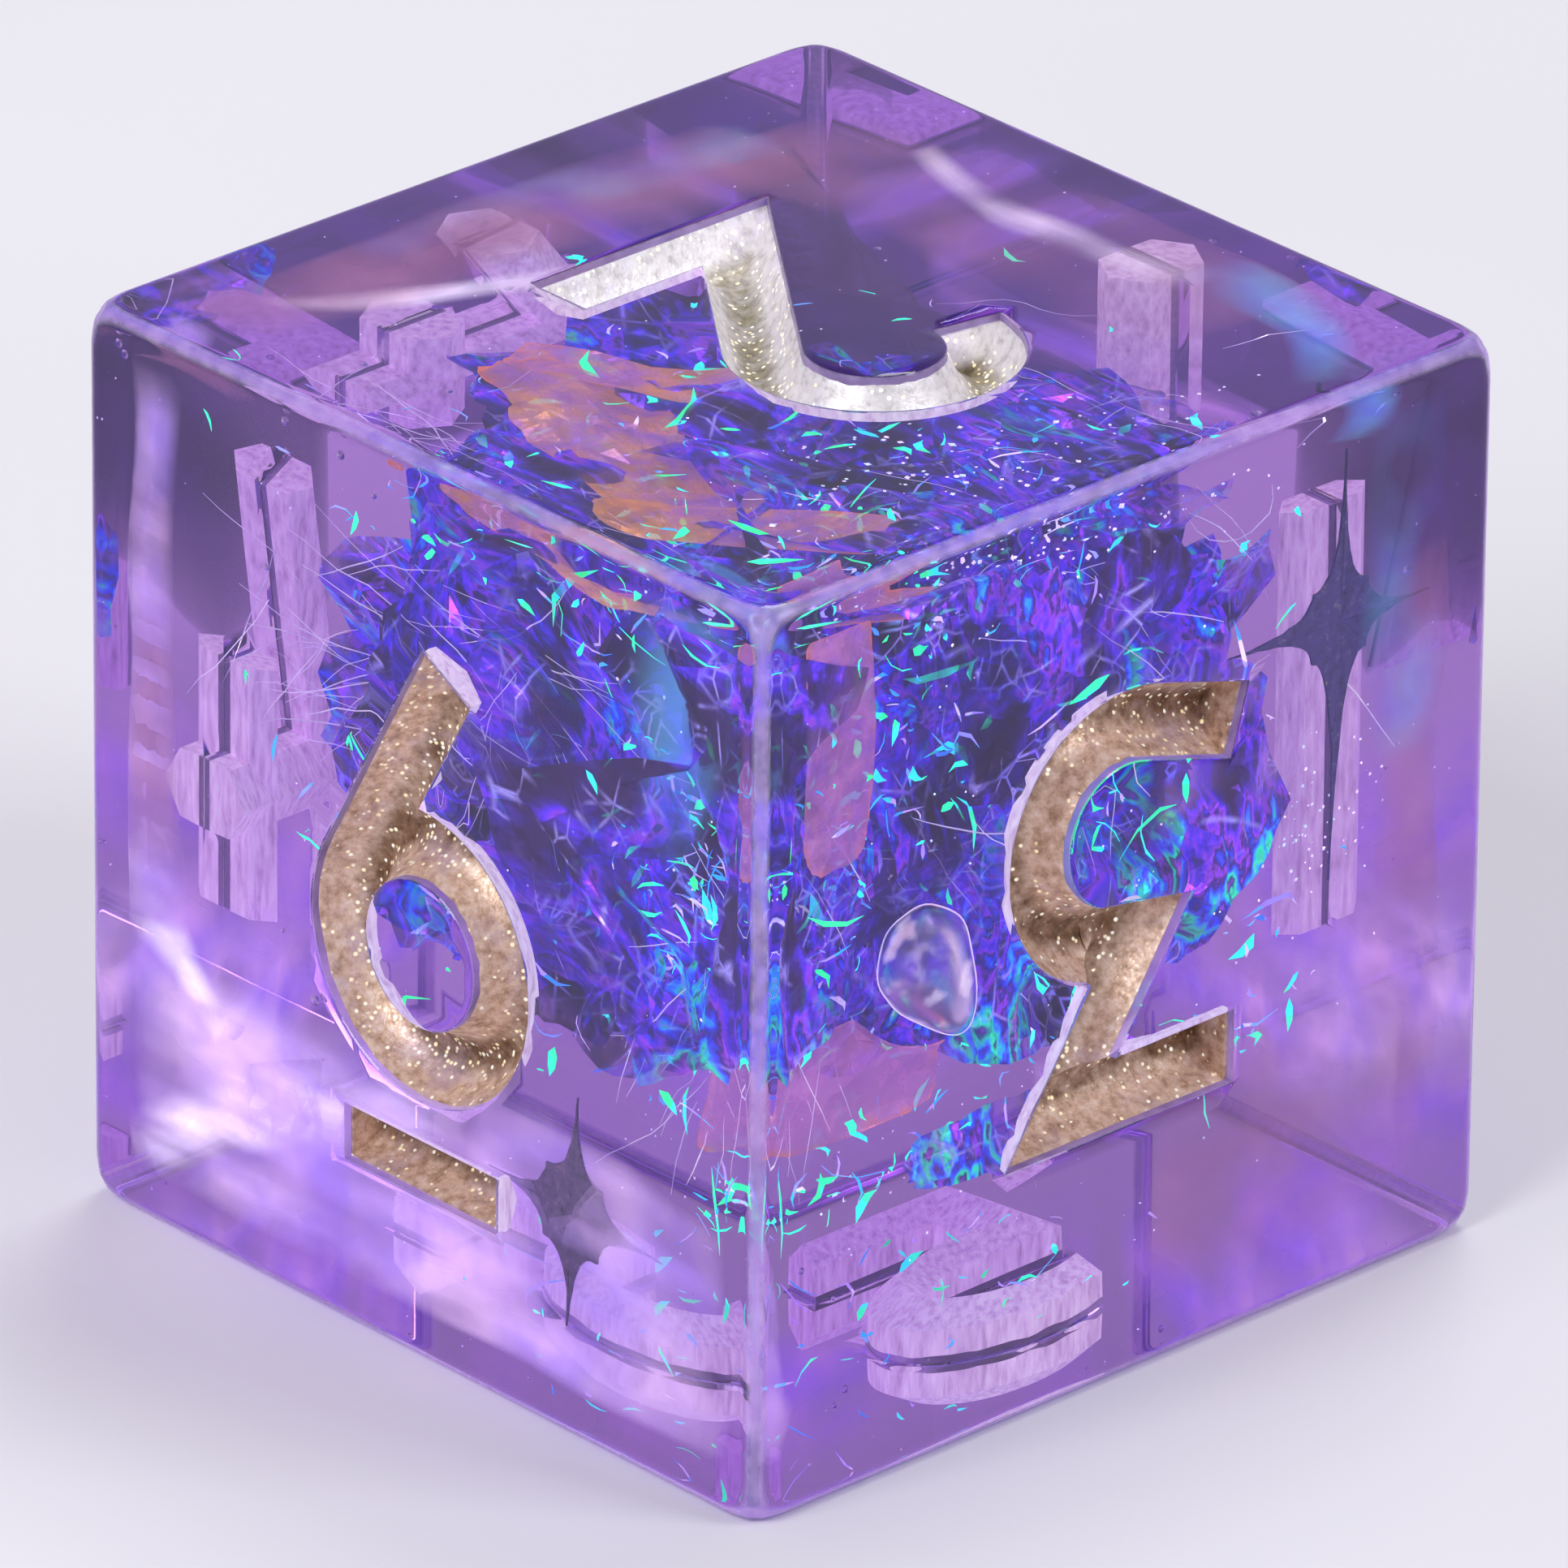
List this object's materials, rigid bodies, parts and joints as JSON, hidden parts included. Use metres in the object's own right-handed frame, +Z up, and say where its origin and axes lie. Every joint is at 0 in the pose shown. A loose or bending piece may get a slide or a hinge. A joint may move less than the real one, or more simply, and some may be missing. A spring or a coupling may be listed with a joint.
{
  "type": "six-sided die",
  "caption": "Transparent violet cast-resin cube die with gold-inked engraved numerals, crumpled iridescent film and star sequins set inside.",
  "frame": {"origin": "centre of the face the die stands on (the 5 face), which is the bottom of its bounding box", "axes": "+Z up out of the 2 face, -Y out of the 6 face, +X out of the 3 face; opposite faces add up to seven"},
  "size_m": [0.016, 0.016, 0.016],
  "materials": {
    "resin": "polished cast violet resin, clear",
    "gold_ink": "satin metallic gold ink with fine flake",
    "iridescent_film": "thin crumpled iridescent film, blue to cyan-green",
    "star_foil": "dark violet metallised sequin with green-gold edges"
  },
  "bodies": {
    "root": {"resin_lower_pour": "resin", "resin_upper_pour": "resin", "numeral_1_ink": "gold_ink", "numeral_2_ink": "gold_ink", "numeral_3_ink": "gold_ink", "numeral_4_ink": "gold_ink", "numeral_5_ink": "gold_ink", "numeral_6_ink": "gold_ink", "underline_6_ink": "gold_ink", "film_fold_1": "iridescent_film", "film_fold_2": "iridescent_film", "film_fold_3": "iridescent_film", "film_fold_4": "iridescent_film", "film_fold_5": "iridescent_film", "film_fold_6": "iridescent_film", "film_fold_7": "iridescent_film", "film_fold_8": "iridescent_film", "film_fold_9": "iridescent_film", "star_sequin_upper": "star_foil", "star_sequin_lower": "star_foil"}
  },
  "joints": []
}
